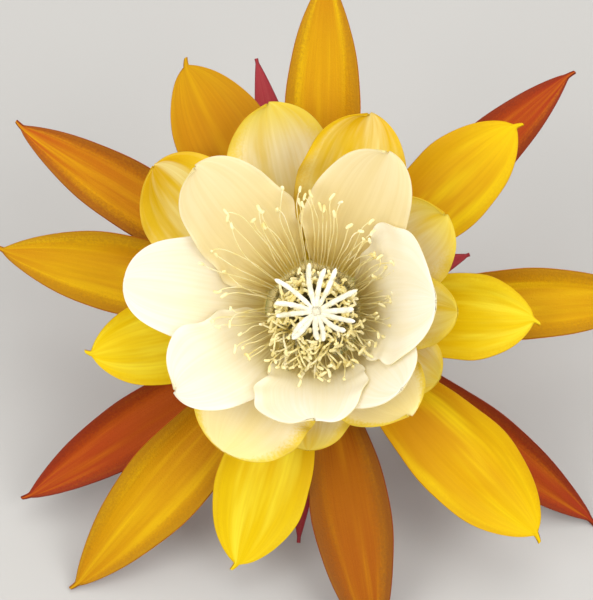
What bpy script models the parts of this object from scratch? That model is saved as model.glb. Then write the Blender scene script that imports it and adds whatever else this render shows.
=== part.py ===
"""Orchid cactus bloom, as picked: one open flower that lies on its curved floral tube and three tepal tips.

Units are metres, +Z is up and the surface it lies on is z = 0. The flower is modelled about its own axis:
local +Z runs out of the throat, local +Y is the side that is uppermost, and the throat's rim is local z = 0.
"""
import math
import random

import bmesh
import bpy
from mathutils import Matrix, Vector

MM = 0.001

# How the bloom lies
FACE_ELEVATION = 55.0            # degrees that the flower's axis points up from the surface
THROAT_HEIGHT = 50.2 * MM        # rim centre above the surface; the tube's underside dips 0.5 mm below it
THROAT_X = -4.0 * MM             # rim centre, so that the origin is under the middle of the box
THROAT_Y = -2.5 * MM

# Floral tube, measured back from the rim along its centre line
STRAIGHT_LENGTH = 26.0 * MM      # the funnel under the tepals
ARC_LENGTH = 50.0 * MM           # the bend that brings the tube down flat on the surface
TUBE_LENGTH = 84.0 * MM
OVARY_START = 62.0 * MM          # the tube is solid from here on
RIM_WALL = 2.6 * MM
TUBE_WALL = 2.0 * MM
TUBE_PROFILE = (                 # (distance back from the rim, outer radius) in mm
    (0.0, 13.6), (3.0, 12.9), (6.0, 12.1), (9.0, 11.1), (12.0, 10.0), (16.0, 8.7), (20.0, 7.6),
    (26.0, 6.4), (34.0, 5.7), (44.0, 5.5), (54.0, 5.8), (62.0, 6.6), (70.0, 7.2), (77.0, 7.0),
    (81.5, 5.8), (84.0, 4.2),
)

GAP = 0.42 * MM                  # between pieces that grow from one another

# The white cup, one row for each tepal's direction: azimuth, then how far out and how high its edge is,
# and the slopes at which it leaves the rim and reaches its edge. In between it changes smoothly.
CUP = (
    (-91, 28.5, 40.0, 66, 52), (-38, 27.5, 41.0, 71, 60), (12, 30.0, 39.5, 69, 43), (66, 42.5, 36.0, 69, 26),
    (130, 46.0, 33.0, 68, 20), (171, 48.0, 25.0, 65, 6), (209, 39.5, 34.0, 66, 24), (269, 28.5, 40.0, 66, 52),
)

# What every tepal of one kind shares. Lengths in mm, angles in degrees.
# root: height of the root on the tube, whose rim the white ones grow from.
# leave and arrive: slope of the midline at its root and tip, which the white ones take from the cup.
# claw: root width. widest: where along the length. fill: how late it widens.
# blunt and point: its end narrows as (1 - x ** blunt) ** point, so 1 is pointed and 0.4 round.
# cup: half angle of the arc across it. wave: height of the waves in its edges.
KINDS = {
    "white": dict(claw=10.0, widest=0.62, fill=0.75, blunt=2.7, point=0.42, wave=0.35, waves=2.0,
                  thick=0.8, columns=6, rows=8),
    "yellow": dict(root=-1.9, leave=56, arrive=20, claw=8.0, widest=0.58, fill=1.3, blunt=2.4, point=0.5,
                   cup=24, wave=0.6, waves=2.0, thick=0.8, columns=6, rows=8),
    "golden": dict(root=-6.2, leave=34, arrive=-6, claw=7.0, widest=0.60, fill=1.3, blunt=2.0, point=0.66,
                   cup=26, wave=0.3, waves=1.5, thick=1.0, columns=4, rows=8),
    "outer": dict(root=-9.0, leave=14, arrive=-8, claw=6.5, widest=0.52, fill=1.3, blunt=1.8, point=0.8,
                  cup=42, wave=0.0, waves=1.0, thick=1.2, columns=4, rows=8),
    "bract": dict(root=-15.0, leave=10, arrive=8, claw=4.5, widest=0.45, fill=1.3, blunt=1.8, point=0.9,
                  cup=38, wave=0.0, waves=1.0, thick=1.1, columns=4, rows=6),
}

# One row for each tepal: azimuth of its midline seen from the front, anticlockwise from the right,
# then how far from the axis and how high above the rim its tip is, and its width. A white one lies on
# the cup: inset moves it towards the axis, and tilt does so at one edge and the other way at the other.
TEPALS = [
    dict(kind="white", azimuth=171, width=28),
    dict(kind="white", azimuth=209, width=24, inset=0.9, tilt=-1.5),
    dict(kind="white", azimuth=130, width=26, inset=0.8, tilt=1.4),
    dict(kind="white", azimuth=66, width=27, inset=0.8, tilt=1.1),
    dict(kind="white", azimuth=5, width=34, inset=1.7),
    dict(kind="white", azimuth=-42, width=25),
    dict(kind="white", azimuth=-91, width=28, inset=1.6, notch=0.05, tilt=-0.3),
    dict(kind="yellow", azimuth=236, reach=41.5, height=23, width=32, arrive=5),
    dict(kind="yellow", azimuth=267, reach=35.0, height=12.5, width=22, root=-3.9, leave=39, arrive=10),
    dict(kind="yellow", azimuth=303, reach=34.0, height=30, width=26, bend=9, arrive=30,
         tilt=-1.2),
    dict(kind="yellow", azimuth=331, reach=35.5, height=13, width=19, root=-4.0, leave=38),
    dict(kind="yellow", azimuth=360, reach=34.5, height=31.5, width=20, leave=59, arrive=30),
    dict(kind="yellow", azimuth=37, reach=40.0, height=23, width=27, root=-2.9, leave=50, tilt=1.3),
    dict(kind="yellow", azimuth=75, reach=50.5, height=24.3, width=27, root=-2.5, leave=54, tilt=1.7),
    dict(kind="yellow", azimuth=103, reach=53.5, height=13.2, width=28, root=-3.2, leave=44, tilt=1.3),
    dict(kind="yellow", azimuth=143, reach=55.0, height=10, width=29, root=-3.4, leave=43, bend=-5,
         tilt=0.2),
    dict(kind="golden", azimuth=118, reach=73.0, height=1, width=25, leave=30),
    dict(kind="golden", azimuth=191, reach=59.5, height=6, width=23),
    dict(kind="golden", azimuth=-2, reach=57.0, height=8, width=23),
    dict(kind="golden", azimuth=43, reach=71.5, height=3, width=23),
    dict(kind="golden", azimuth=253, reach=70.0, height=-2, width=25),
    dict(kind="golden", azimuth=-45, reach=82.5, height=2, width=25),
    dict(kind="outer", azimuth=169, reach=84.5, height=-8, width=22),
    dict(kind="outer", azimuth=148, reach=93.0, height=-14, width=19, root=-11.4),
    dict(kind="outer", azimuth=88, reach=89.0, height=-8, width=21),
    dict(kind="outer", azimuth=43, reach=93.5, height=-18, width=17, root=-11.4),
    dict(kind="outer", azimuth=2, reach=91.0, height=-8, width=20),
    dict(kind="outer", azimuth=-37, reach=94.0, height=None, width=17, root=-11.4),
    dict(kind="outer", azimuth=-80, reach=89.0, height=None, width=22, root=-10.2),
    dict(kind="outer", azimuth=229, reach=96.5, height=None, width=23),
    dict(kind="outer", azimuth=213, reach=92.0, height=-18, width=18, root=-11.6),
    dict(kind="bract", azimuth=103, reach=69.0, height=-22, width=11),
    dict(kind="bract", azimuth=-94, reach=61.0, height=-13, width=8),
    dict(kind="bract", azimuth=20, reach=44.0, height=-22, width=9, root=-19.0),
    dict(kind="bract", azimuth=170, reach=48.0, height=-26, width=10, root=-17.0),
    dict(kind="bract", azimuth=65, reach=40.0, height=-32, width=9, root=-22.0),
]
TIP_WIDTH = 0.9 * MM             # even a drawn-out tip ends this wide
REST_LIFT = 0.65 * MM            # a tip's midline is this high where the tepal touches the surface

# Stamens: a ring along the cup, and a tuft round the style
COLLAR_TOP = -0.6 * MM
COLLAR_BOTTOM = -7.0 * MM
COLLAR_WALL = 1.2 * MM
COLLAR_GAP = 0.75 * MM
RING_STAMENS = 30
TUFT_STAMENS = 26
RING_REACH = (                   # (azimuth, distance from the axis in mm) of the ring's anthers
    (-135, 18.5), (-90, 18.5), (-45, 15.0), (0, 16.0), (45, 21.5), (90, 26.5), (130, 29.5),
    (180, 23.5), (225, 18.5),
)
FILAMENT_RADIUS = 0.38 * MM
ANTHER_RADIUS = 0.85 * MM
ANTHER_LENGTH = 2.6 * MM
SEED = 7

# Pistil
STYLE_RADIUS = 1.1 * MM
STIGMA_HEIGHT = 33.0 * MM
STIGMA_RADIUS = 2.0 * MM
LOBES = 14
LOBE_LENGTH = 11.8 * MM
LOBE_RADIUS = 0.75 * MM

COLOURS = {
    "white": (0.93, 0.90, 0.80), "yellow": (0.90, 0.78, 0.30), "golden": (0.90, 0.60, 0.04),
    "outer": (0.84, 0.45, 0.06), "bract": (0.66, 0.13, 0.08), "tube": (0.45, 0.50, 0.18),
    "stamens": (0.93, 0.88, 0.60), "pistil": (0.95, 0.94, 0.88),
}


def clear_scene():
    for obj in list(bpy.data.objects):
        bpy.data.objects.remove(obj)


def new_collection(name):
    collection = bpy.data.collections.new(name)
    bpy.context.scene.collection.children.link(collection)
    return collection


def material(name, roughness=0.5):
    made = bpy.data.materials.get(name) or bpy.data.materials.new(name)
    made.use_nodes = True
    shader = made.node_tree.nodes["Principled BSDF"]
    shader.inputs["Base Color"].default_value = (*COLOURS[name], 1.0)
    shader.inputs["Roughness"].default_value = roughness
    shader.inputs["Metallic"].default_value = 0.0
    return made


def smooth(mesh, angle=40):
    mesh.shade_smooth()
    mesh.set_sharp_from_angle(angle=math.radians(angle))


def outer_radius(back):
    """Radius of the tube's outer side, this far back from the rim."""
    for (a, ra), (b, rb) in zip(TUBE_PROFILE, TUBE_PROFILE[1:]):
        if back <= b * MM:
            share = max(0.0, (back - a * MM) / ((b - a) * MM))
            return (ra + (rb - ra) * share) * MM
    return TUBE_PROFILE[-1][1] * MM


def bore_radius(back):
    """Radius of the tube's inside. The wall is thickest at the rim, where the tepals grow."""
    share = min(1.0, max(0.0, back) / STRAIGHT_LENGTH)
    return outer_radius(max(0.0, back)) - (RIM_WALL + (TUBE_WALL - RIM_WALL) * share)


def centre_line(back):
    """Point of the tube's centre line, this far back from the rim: straight, then an arc, then level."""
    turn = math.radians(FACE_ELEVATION)
    radius = ARC_LENGTH / turn
    if back <= STRAIGHT_LENGTH:
        return Vector((0.0, 0.0, -back))
    angle = min(turn, (back - STRAIGHT_LENGTH) / radius)
    point = Vector((0.0, radius * (1 - math.cos(angle)), -STRAIGHT_LENGTH - radius * math.sin(angle)))
    rest = max(0.0, back - STRAIGHT_LENGTH - ARC_LENGTH)
    return point + rest * Vector((0.0, math.sin(turn), -math.cos(turn)))


def height_on_floor(reach, azimuth):
    """How high above the rim a tip at this reach and azimuth is when it touches the surface."""
    turn = math.radians(FACE_ELEVATION)
    upward = reach * math.sin(math.radians(azimuth)) * math.cos(turn)
    return -(THROAT_HEIGHT + upward - REST_LIFT) / math.sin(turn)


def bezier(p0, p1, p2, p3, t):
    u = 1 - t
    return u * u * u * p0 + 3 * u * u * t * p1 + 3 * u * t * t * p2 + t * t * t * p3


def direction(degrees):
    return Vector((math.cos(math.radians(degrees)), math.sin(math.radians(degrees))))


def cup_row(azimuth):
    """The cup's (reach, height, leave, arrive) in this direction, easing from row to row of CUP."""
    azimuth = (azimuth - CUP[0][0]) % 360 + CUP[0][0]
    for before, after in zip(CUP, CUP[1:]):
        if azimuth <= after[0]:
            share = (azimuth - before[0]) / (after[0] - before[0])
            share = 0.5 - 0.5 * math.cos(math.pi * share)
            reach, height, leave, arrive = (a + (b - a) * share for a, b in zip(before[1:], after[1:]))
            return reach * MM, height * MM, leave, arrive
    raise ValueError("CUP covers a full turn")


def midline(root, tip, leave, arrive, t):
    """Point and direction at t of the Bezier curve from root to tip that has these slopes at its ends."""
    span = (tip - root).length
    points = (root, root + 0.40 * span * direction(leave), tip - 0.38 * span * direction(arrive), tip)
    ahead = bezier(*points, t + 0.001) - bezier(*points, t - 0.001)
    return bezier(*points, t), ahead.normalized()


def half_width(spec, t):
    """Half the tepal's width at t: it widens from its claw and then closes to its tip."""
    if t < spec["widest"]:
        rise = math.sin(0.5 * math.pi * t / spec["widest"]) ** spec["fill"]
        return 0.5 * (spec["claw"] + (spec["width"] - spec["claw"]) * rise)
    share = (t - spec["widest"]) / (1 - spec["widest"])
    closing = max(0.0, 1 - share ** spec["blunt"]) ** spec["point"]
    return 0.5 * max(TIP_WIDTH, spec["width"] * closing)


def tepal_point(spec, t, s):
    """Point of a tepal's middle surface. t runs from root to tip, s from -1 to 1 across it.

    The midline is a Bezier curve in the plane of the flower's axis. Across it, a white tepal follows the
    cup that all of them share, and any other has an arc for its cross-section.
    """
    along = t * (1 - spec["notch"] * math.exp(-((s / 0.3) ** 2)) * t ** 4)
    half = half_width(spec, t)
    phase = math.radians(spec["azimuth"] * 7)
    ripple = math.sin(2 * math.pi * spec["waves"] * t + phase + (2.0 if s > 0 else 0.0))
    lift = spec["wave"] * abs(s) ** 3 * math.sin(math.pi * t) ** 1.5 * ripple
    lift += spec["tilt"] * s * (0.2 + 0.8 * min(1.0, 4 * t)) + spec["inset"]
    if spec["kind"] == "white":
        root = Vector((outer_radius(0) - spec["thick"] / 2, GAP + 0.1 * MM))
        reach, height, leave, arrive = cup_row(spec["azimuth"])
        centre, _ = midline(root, Vector((reach, height)), leave, arrive, along)
        azimuth = spec["azimuth"] + math.degrees(half * s / centre.x)
        reach, height, leave, arrive = cup_row(azimuth)
        here, slope = midline(root, Vector((reach, height)), leave, arrive, along)
        across = 0.0
    else:
        root = Vector((outer_radius(-spec["root"]) + GAP + spec["thick"] / 2, spec["root"]))
        tip = Vector((spec["reach"], spec["height"]))
        here, slope = midline(root, tip, spec["leave"], spec["arrive"], along)
        azimuth = spec["azimuth"] + spec["bend"] * t * t
        arc = math.radians(spec["cup"]) * (0.55 + 0.45 * math.sin(math.pi * min(1.0, t * 1.1)))
        across = half / arc * math.sin(arc * s)
        lift += half / arc * (1 - math.cos(arc * s))
    turn = math.radians(azimuth)
    radial = here.x - slope.y * lift
    return Vector((
        radial * math.cos(turn) - across * math.sin(turn),
        radial * math.sin(turn) + across * math.cos(turn),
        here.y + slope.x * lift,
    ))


def full_spec(row):
    """A tepal's row with its kind's values filled in, in metres."""
    spec = dict(root=0.0, reach=0.0, height=0.0, inset=0.0, notch=0.0, bend=0.0, tilt=0.0)
    spec.update(KINDS[row["kind"]])
    spec.update(row)
    if spec["height"] is None:
        spec["height"] = height_on_floor(spec["reach"] * MM, spec["azimuth"]) / MM
    for key in ("root", "claw", "wave", "thick", "reach", "height", "width", "inset", "tilt"):
        spec[key] *= MM
    return spec


def make_tepal(row, name, parent, collection):
    """One tepal: a grid bent to its surface, given its thickness by Solidify."""
    spec = full_spec(row)
    rows, columns = spec["rows"], spec["columns"]
    bm = bmesh.new()
    bmesh.ops.create_grid(bm, x_segments=columns, y_segments=rows, size=1.0)
    for vertex in bm.verts:
        t = 1 - (1 - (vertex.co.y + 1) / 2) ** 1.5
        vertex.co = tepal_point(spec, t, vertex.co.x)
    bmesh.ops.triangulate(bm, faces=bm.faces)
    mesh = bpy.data.meshes.new(name)
    bm.to_mesh(mesh)
    bm.free()
    smooth(mesh, 60)
    obj = bpy.data.objects.new(name, mesh)
    collection.objects.link(obj)
    obj.parent = parent
    solidify = obj.modifiers.new("thickness", "SOLIDIFY")
    solidify.thickness = spec["thick"]
    solidify.offset = 0.0
    mesh.materials.append(material(spec["kind"]))
    return obj


def tapered_curve(name, splines, resolution, collection):
    """A curve object whose splines are lists of (point, radius), turned into a closed mesh object."""
    curve = bpy.data.curves.new(name, "CURVE")
    curve.dimensions = "3D"
    curve.bevel_depth = 1.0
    curve.bevel_resolution = resolution
    curve.use_fill_caps = True
    for points in splines:
        spline = curve.splines.new("POLY")
        spline.points.add(len(points) - 1)
        for target, (point, radius) in zip(spline.points, points):
            target.co = (*point, 1.0)
            target.radius = radius
    source = bpy.data.objects.new(name + "_curve", curve)
    collection.objects.link(source)
    bpy.context.view_layer.update()
    graph = bpy.context.evaluated_depsgraph_get()
    mesh = bpy.data.meshes.new_from_object(source.evaluated_get(graph))
    bpy.data.objects.remove(source)
    bm = bmesh.new()
    bm.from_mesh(mesh)
    bmesh.ops.remove_doubles(bm, verts=bm.verts, dist=0.00001)
    bmesh.ops.recalc_face_normals(bm, faces=bm.faces)
    bm.to_mesh(mesh)
    bm.free()
    mesh.name = name
    obj = bpy.data.objects.new(name, mesh)
    collection.objects.link(obj)
    return obj


def apply_boolean(obj, operation, operand, solver="MANIFOLD"):
    """Joins or cuts obj with an object or a whole collection, keeps the result, and removes the operands."""
    modifier = obj.modifiers.new(operation.lower(), "BOOLEAN")
    modifier.operation = operation
    modifier.solver = solver
    if isinstance(operand, bpy.types.Collection):
        modifier.operand_type = "COLLECTION"
        modifier.collection = operand
        used = list(operand.objects)
    else:
        modifier.object = operand
        used = [operand]
    bpy.context.view_layer.update()
    graph = bpy.context.evaluated_depsgraph_get()
    mesh = bpy.data.meshes.new_from_object(obj.evaluated_get(graph))
    obj.modifiers.clear()
    mesh.name = obj.name
    obj.data = mesh
    for other in used:
        bpy.data.objects.remove(other)


def make_tube(parent, collection):
    """The floral tube: a bent funnel, hollow down to the ovary, with small scales on its outside."""
    steps = 22
    outer, bore = [], []
    for i in range(steps + 1):
        back = TUBE_LENGTH * i / steps
        outer.append((centre_line(back), outer_radius(back)))
    above_rim = 4 * MM
    bore.append((centre_line(0) + Vector((0, 0, above_rim)), bore_radius(0)))
    for i in range(16):
        back = (OVARY_START - 2 * MM) * i / 15
        bore.append((centre_line(back), bore_radius(back)))
    tube = tapered_curve("floral_tube", [outer], 6, collection)
    scales = new_collection("tube scales")
    scale_count, scale_length, golden_angle = 11, 9 * MM, 137.5
    for i in range(scale_count):
        back = (30 + 47 * (i / (scale_count - 1)) ** 0.9) * MM
        length = scale_length * (1 - 0.45 * i / scale_count)
        make_scale(f"scale_{i}", back, i * golden_angle, length, scales)
    apply_boolean(tube, "UNION", scales)
    cutter = tapered_curve("bore_cutter", [bore], 6, collection)
    apply_boolean(tube, "DIFFERENCE", cutter)
    tube.parent = parent
    press_flat(tube, collection)
    smooth(tube.data)
    tube.data.materials.append(material("tube"))
    return tube


def make_scale(name, back, azimuth, length, collection):
    """A small pointed scale whose base is sunk in the tube and whose tip leans towards the throat."""
    centre = centre_line(back)
    forward = (centre_line(back - MM) - centre).normalized()
    side = Vector((1, 0, 0))
    up = forward.cross(side).normalized()
    turn = math.radians(azimuth)
    outward = side * math.cos(turn) + up * math.sin(turn)
    lean = (forward * math.cos(math.radians(24)) + outward * math.sin(math.radians(24))).normalized()
    wide = lean.cross(outward).normalized()
    thin = wide.cross(lean).normalized()
    bm = bmesh.new()
    bmesh.ops.create_cone(bm, cap_ends=True, segments=6, radius1=1.0, radius2=0.15, depth=1.0)
    frame = Matrix((wide * 0.36 * length, thin * 0.16 * length, lean * length)).transposed().to_4x4()
    frame.translation = centre + outward * (outer_radius(back) - 0.5 * MM) + lean * length * 0.3
    bmesh.ops.transform(bm, matrix=frame, verts=bm.verts)
    bmesh.ops.recalc_face_normals(bm, faces=bm.faces)
    mesh = bpy.data.meshes.new(name)
    bm.to_mesh(mesh)
    bm.free()
    collection.objects.link(bpy.data.objects.new(name, mesh))


def press_flat(tube, collection):
    """Cuts the tube's underside level with the surface it lies on."""
    size = 0.2
    bm = bmesh.new()
    bmesh.ops.create_cube(bm, size=size)
    mesh = bpy.data.meshes.new("surface_cutter")
    bm.to_mesh(mesh)
    bm.free()
    cutter = bpy.data.objects.new("surface_cutter", mesh)
    collection.objects.link(cutter)
    cutter.location = (0, 0, -size / 2)
    apply_boolean(tube, "DIFFERENCE", cutter)


def polar(radius, azimuth, height):
    turn = math.radians(azimuth)
    return Vector((radius * math.cos(turn), radius * math.sin(turn), height))


def ring_reach(azimuth):
    """How far out the ring's anthers lie in this direction. Azimuth runs from -135 to 225."""
    for (a, ra), (b, rb) in zip(RING_REACH, RING_REACH[1:]):
        if azimuth <= b:
            return (ra + (rb - ra) * (azimuth - a) / (b - a)) * MM
    return RING_REACH[-1][1] * MM


def stamen_points(root, middle, tip, radius):
    """(point, radius) along a filament that bends from root to tip and ends in a swollen anther."""
    length = (tip - middle).length
    head = (tip - middle).normalized()
    neck = tip - head * ANTHER_LENGTH
    points = [(root, radius), (middle, radius)]
    if length > ANTHER_LENGTH * 1.5:
        points.append((neck, radius * 0.9))
    points.append((neck.lerp(tip, 0.5), ANTHER_RADIUS))
    points.append((tip, radius * 0.7))
    return points


def make_stamens(parent, collection):
    """The filaments and anthers, joined to the collar that lines the throat and carries them."""
    rng = random.Random(SEED)
    profile = []
    for height in (COLLAR_TOP, (COLLAR_TOP + COLLAR_BOTTOM) / 2, COLLAR_BOTTOM):
        profile.append((bore_radius(-height) - COLLAR_GAP, height))
    ring = profile + [(radius - COLLAR_WALL, height) for radius, height in reversed(profile)]
    bm = bmesh.new()
    corners = [bm.verts.new((radius, 0, height)) for radius, height in ring]
    for a, b in zip(corners, corners[1:] + corners[:1]):
        bm.edges.new((a, b))
    mesh = bpy.data.meshes.new("stamens")
    bm.to_mesh(mesh)
    bm.free()
    stamens = bpy.data.objects.new("stamens", mesh)
    collection.objects.link(stamens)
    screw = stamens.modifiers.new("turn", "SCREW")
    screw.steps = screw.render_steps = 28
    screw.use_merge_vertices = True
    screw.merge_threshold = 0.00005
    screw.use_normal_calculate = True
    screw.use_normal_flip = True

    filaments = new_collection("stamen filaments")
    ring_root = bore_radius(2.5 * MM) - COLLAR_GAP - COLLAR_WALL / 2
    tuft_root = bore_radius(5.5 * MM) - COLLAR_GAP - COLLAR_WALL / 2
    for i in range(RING_STAMENS):
        azimuth = -134 + 358 * (i + rng.uniform(-0.2, 0.2)) / RING_STAMENS
        reach = ring_reach(azimuth) - rng.uniform(0, 1.5) * MM
        height = 10 * MM + 0.78 * reach
        root = polar(ring_root, azimuth, -2.5 * MM)
        middle = polar(ring_root + 0.42 * (reach - ring_root), azimuth, height * 0.62)
        tip = polar(reach * 0.95, azimuth + rng.uniform(-4, 4), height + rng.uniform(0, 2) * MM)
        points = stamen_points(root, middle, tip, FILAMENT_RADIUS)
        tapered_curve(f"ring_stamen_{i}", [points], 0, filaments)
    for i in range(TUFT_STAMENS):
        azimuth = 360 * (i + rng.uniform(-0.15, 0.15)) / TUFT_STAMENS
        share = (i * 0.618) % 1
        low_side = max(0.0, math.cos(math.radians(azimuth - 262)))
        reach = (6.0 + 5.5 * math.sqrt(share) + 2.5 * low_side * share) * MM
        height = (27.0 - 8.0 * share) * MM
        root = polar(tuft_root, azimuth, -5.5 * MM)
        middle = polar(reach * 1.02, azimuth, height - 5.5 * MM)
        tip = polar(reach, azimuth + rng.uniform(-7, 7), height)
        points = stamen_points(root, middle, tip, FILAMENT_RADIUS)
        tapered_curve(f"tuft_stamen_{i}", [points], 0, filaments)
    apply_boolean(stamens, "UNION", filaments)
    stamens.parent = parent
    smooth(stamens.data, 60)
    stamens.data.materials.append(material("stamens"))
    return stamens


def make_pistil(parent, collection):
    """The style, from the ovary's top out through the throat, and the star of stigma lobes on it."""
    stem = []
    foot = OVARY_START - 2 * MM - GAP
    for i in range(15):
        stem.append((centre_line(foot * (1 - i / 14)), STYLE_RADIUS))
    stem.append((Vector((0, 0, STIGMA_HEIGHT * 0.5)), STYLE_RADIUS))
    stem.append((Vector((0, 0, STIGMA_HEIGHT - 2 * MM)), STYLE_RADIUS))
    stem.append((Vector((0, 0, STIGMA_HEIGHT)), STIGMA_RADIUS * 0.9))
    stem.append((Vector((0, 0, STIGMA_HEIGHT + 1.2 * MM)), STIGMA_RADIUS * 0.7))
    pistil = tapered_curve("pistil", [stem], 2, collection)
    lobes = new_collection("stigma lobes")
    for i in range(LOBES):
        azimuth = 360 * i / LOBES + 8
        low_side = 0.5 - 0.5 * math.sin(math.radians(azimuth))
        lean = 14 + 42 * low_side
        bend = lean + 10
        start = polar(0.3 * STIGMA_RADIUS, azimuth, STIGMA_HEIGHT)
        points = [(start, LOBE_RADIUS)]
        for share, angle in ((0.5, lean), (1.0, bend)):
            step = LOBE_LENGTH * 0.5
            flat = math.cos(math.radians(angle)) * step
            rise = math.sin(math.radians(angle)) * step
            start = start + polar(flat, azimuth, rise)
            points.append((start, LOBE_RADIUS * (1.05 - 0.15 * share)))
        end = points[-1][0] + (points[-1][0] - points[-2][0]).normalized() * 0.5 * MM
        points.append((end, LOBE_RADIUS * 0.45))
        tapered_curve(f"stigma_lobe_{i}", [points], 1, lobes)
    apply_boolean(pistil, "UNION", lobes)
    pistil.parent = parent
    smooth(pistil.data, 50)
    pistil.data.materials.append(material("pistil"))
    return pistil


def main():
    clear_scene()
    collection = new_collection("orchid cactus bloom")
    throat = bpy.data.objects.new("throat", None)
    collection.objects.link(throat)
    throat.location = (THROAT_X, THROAT_Y, THROAT_HEIGHT)
    throat.rotation_euler = (math.radians(90 - FACE_ELEVATION), 0, 0)
    bpy.context.view_layer.update()
    make_tube(throat, collection)
    make_pistil(throat, collection)
    make_stamens(throat, collection)
    count = {}
    for row in TEPALS:
        kind = row["kind"]
        count[kind] = count.get(kind, 0) + 1
        ending = "" if kind == "bract" else "_tepal"
        make_tepal(row, f"{kind}{ending}_{count[kind]:02d}", throat, collection)
    bpy.context.view_layer.update()


main()
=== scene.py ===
# Orchid cactus bloom: the looks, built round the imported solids. Lengths are in mm and angles in degrees.
import math

import bpy
import numpy as np
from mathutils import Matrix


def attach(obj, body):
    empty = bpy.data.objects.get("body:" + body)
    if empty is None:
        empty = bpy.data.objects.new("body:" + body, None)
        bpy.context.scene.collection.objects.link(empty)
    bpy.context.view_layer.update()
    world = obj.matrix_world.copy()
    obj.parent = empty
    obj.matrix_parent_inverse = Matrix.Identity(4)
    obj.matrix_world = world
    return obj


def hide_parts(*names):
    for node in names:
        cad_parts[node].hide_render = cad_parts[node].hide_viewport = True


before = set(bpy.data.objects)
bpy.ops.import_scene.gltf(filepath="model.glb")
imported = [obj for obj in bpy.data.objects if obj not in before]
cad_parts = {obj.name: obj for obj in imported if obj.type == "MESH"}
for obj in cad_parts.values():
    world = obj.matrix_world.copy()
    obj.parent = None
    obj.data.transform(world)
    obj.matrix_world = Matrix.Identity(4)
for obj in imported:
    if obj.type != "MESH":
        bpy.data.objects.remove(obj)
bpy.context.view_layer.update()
mm = 0.001

# How the bloom lies, as in the solids: the throat's rim centre, and how far up the flower's axis points.
pose = {"throatX": -4.0, "throatY": -2.5, "throatHeight": 50.2, "faceElevation": 55.0, "restLift": 0.65}

# The floral tube. Its profile is the outer radius at places measured back from the rim.
tube = {
    "straight": 26.0, "arc": 50.0, "length": 84.0, "boreEnd": 60.0, "rimWall": 2.6, "wall": 2.0,
    "profile": ((0.0, 13.6), (3.0, 12.9), (6.0, 12.1), (9.0, 11.1), (12.0, 10.0), (16.0, 8.7), (20.0, 7.6),
                (26.0, 6.4), (34.0, 5.7), (44.0, 5.5), (54.0, 5.8), (62.0, 6.6), (70.0, 7.2), (77.0, 7.0),
                (81.5, 5.8), (84.0, 4.2)),
    "around": 64, "along": 120, "lipRound": 0.5, "lipEdge": 0.12, "endRound": 1.2,
    "ridges": 5, "ridgeHeight": 0.16, "ridgeTwist": 0.016, "ridgeStart": 20.0, "ridgeEase": 15.0,
}


# Vectors shortened or lengthened to 1.
def unit(vectors):
    return vectors / np.linalg.norm(vectors, axis=-1, keepdims=True)


# The flower's own frame, in mm, to the world's metres: one turn about X, then a shift to the throat's place.
def toWorld(points):
    tilt = math.radians(90 - pose["faceElevation"])
    x, y, z = points[..., 0], points[..., 1], points[..., 2]
    return np.stack([
        x + pose["throatX"],
        y * math.cos(tilt) - z * math.sin(tilt) + pose["throatY"],
        y * math.sin(tilt) + z * math.cos(tilt) + pose["throatHeight"],
    ], axis=-1) * mm


# The same, with whatever would lie under the surface pressed flat on it.
def toWorldOnSurface(points):
    world = toWorld(points)
    world[..., 2] = np.maximum(world[..., 2], 0.0)
    return world


# Materials

# sRGB hex to linear RGBA.
def hexColor(text):
    channels = [int(text[i:i + 2], 16) / 255 for i in (1, 3, 5)]
    return tuple(c / 12.92 if c <= 0.04045 else ((c + 0.055) / 1.055) ** 2.4 for c in channels) + (1.0,)


def grey(value):
    return (value, value, value, 1.0)


# Adds a node: settings are its properties, values its unlinked sockets, links go socket to output.
def addNode(tree, kind, settings=None, values=None, links=None):
    made = tree.nodes.new(kind)
    for key, value in (settings or {}).items():
        setattr(made, key, value)
    for key, value in (values or {}).items():
        made.inputs[key].default_value = value
    for key, source in (links or {}).items():
        tree.links.new(source, made.inputs[key])
    return made


# A colour from a value between 0 and 1, by (place, colour) stops with soft steps between them.
def colorAlong(tree, value, stops):
    made = addNode(tree, "ShaderNodeValToRGB", links={"Fac": value})
    ramp = made.color_ramp
    ramp.interpolation = "EASE"
    while len(ramp.elements) < len(stops):
        ramp.elements.new(1.0)
    for element, (place, color) in zip(ramp.elements, stops):
        element.position = place
        element.color = color
    return made.outputs["Color"]


# A grey mask that goes softly from one strength to another between two values.
def softMask(tree, value, steps, before, after):
    return colorAlong(tree, value, [(steps[0], grey(before)), (steps[1], grey(after))])


# Mixes two colours by a factor. Each of the three is a plain value or a node's output.
def mixColor(tree, factor, first, second):
    made = addNode(tree, "ShaderNodeMix", {"data_type": "RGBA"})
    for socket, source in ((0, factor), (6, first), (7, second)):
        if isinstance(source, bpy.types.NodeSocket):
            tree.links.new(source, made.inputs[socket])
        else:
            made.inputs[socket].default_value = source
    return made.outputs[2]


def emptyMaterial(name):
    material = bpy.data.materials.new(name)
    material.use_nodes = True
    material.node_tree.nodes.clear()
    return material, material.node_tree


# Plant tissue: a skin of wet cells, whose IOR is a little over water's, and light that comes through it,
# mixed by the look's glow. On a thin blade the relief also shapes the light that comes through.
def tissueSurface(tree, look, color, normal, thin):
    skin = addNode(tree, "ShaderNodeBsdfPrincipled",
                   values={"Roughness": look["roughness"], "IOR": 1.42, "Specular IOR Level": look["shine"]},
                   links={"Base Color": color, "Normal": normal})
    through = {"Color": color, "Normal": normal} if thin else {"Color": color}
    glow = addNode(tree, "ShaderNodeBsdfTranslucent", links=through)
    both = addNode(tree, "ShaderNodeMixShader", values={0: look["glow"]},
                   links={1: skin.outputs[0], 2: glow.outputs[0]})
    addNode(tree, "ShaderNodeOutputMaterial", links={"Surface": both.outputs[0]})


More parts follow.
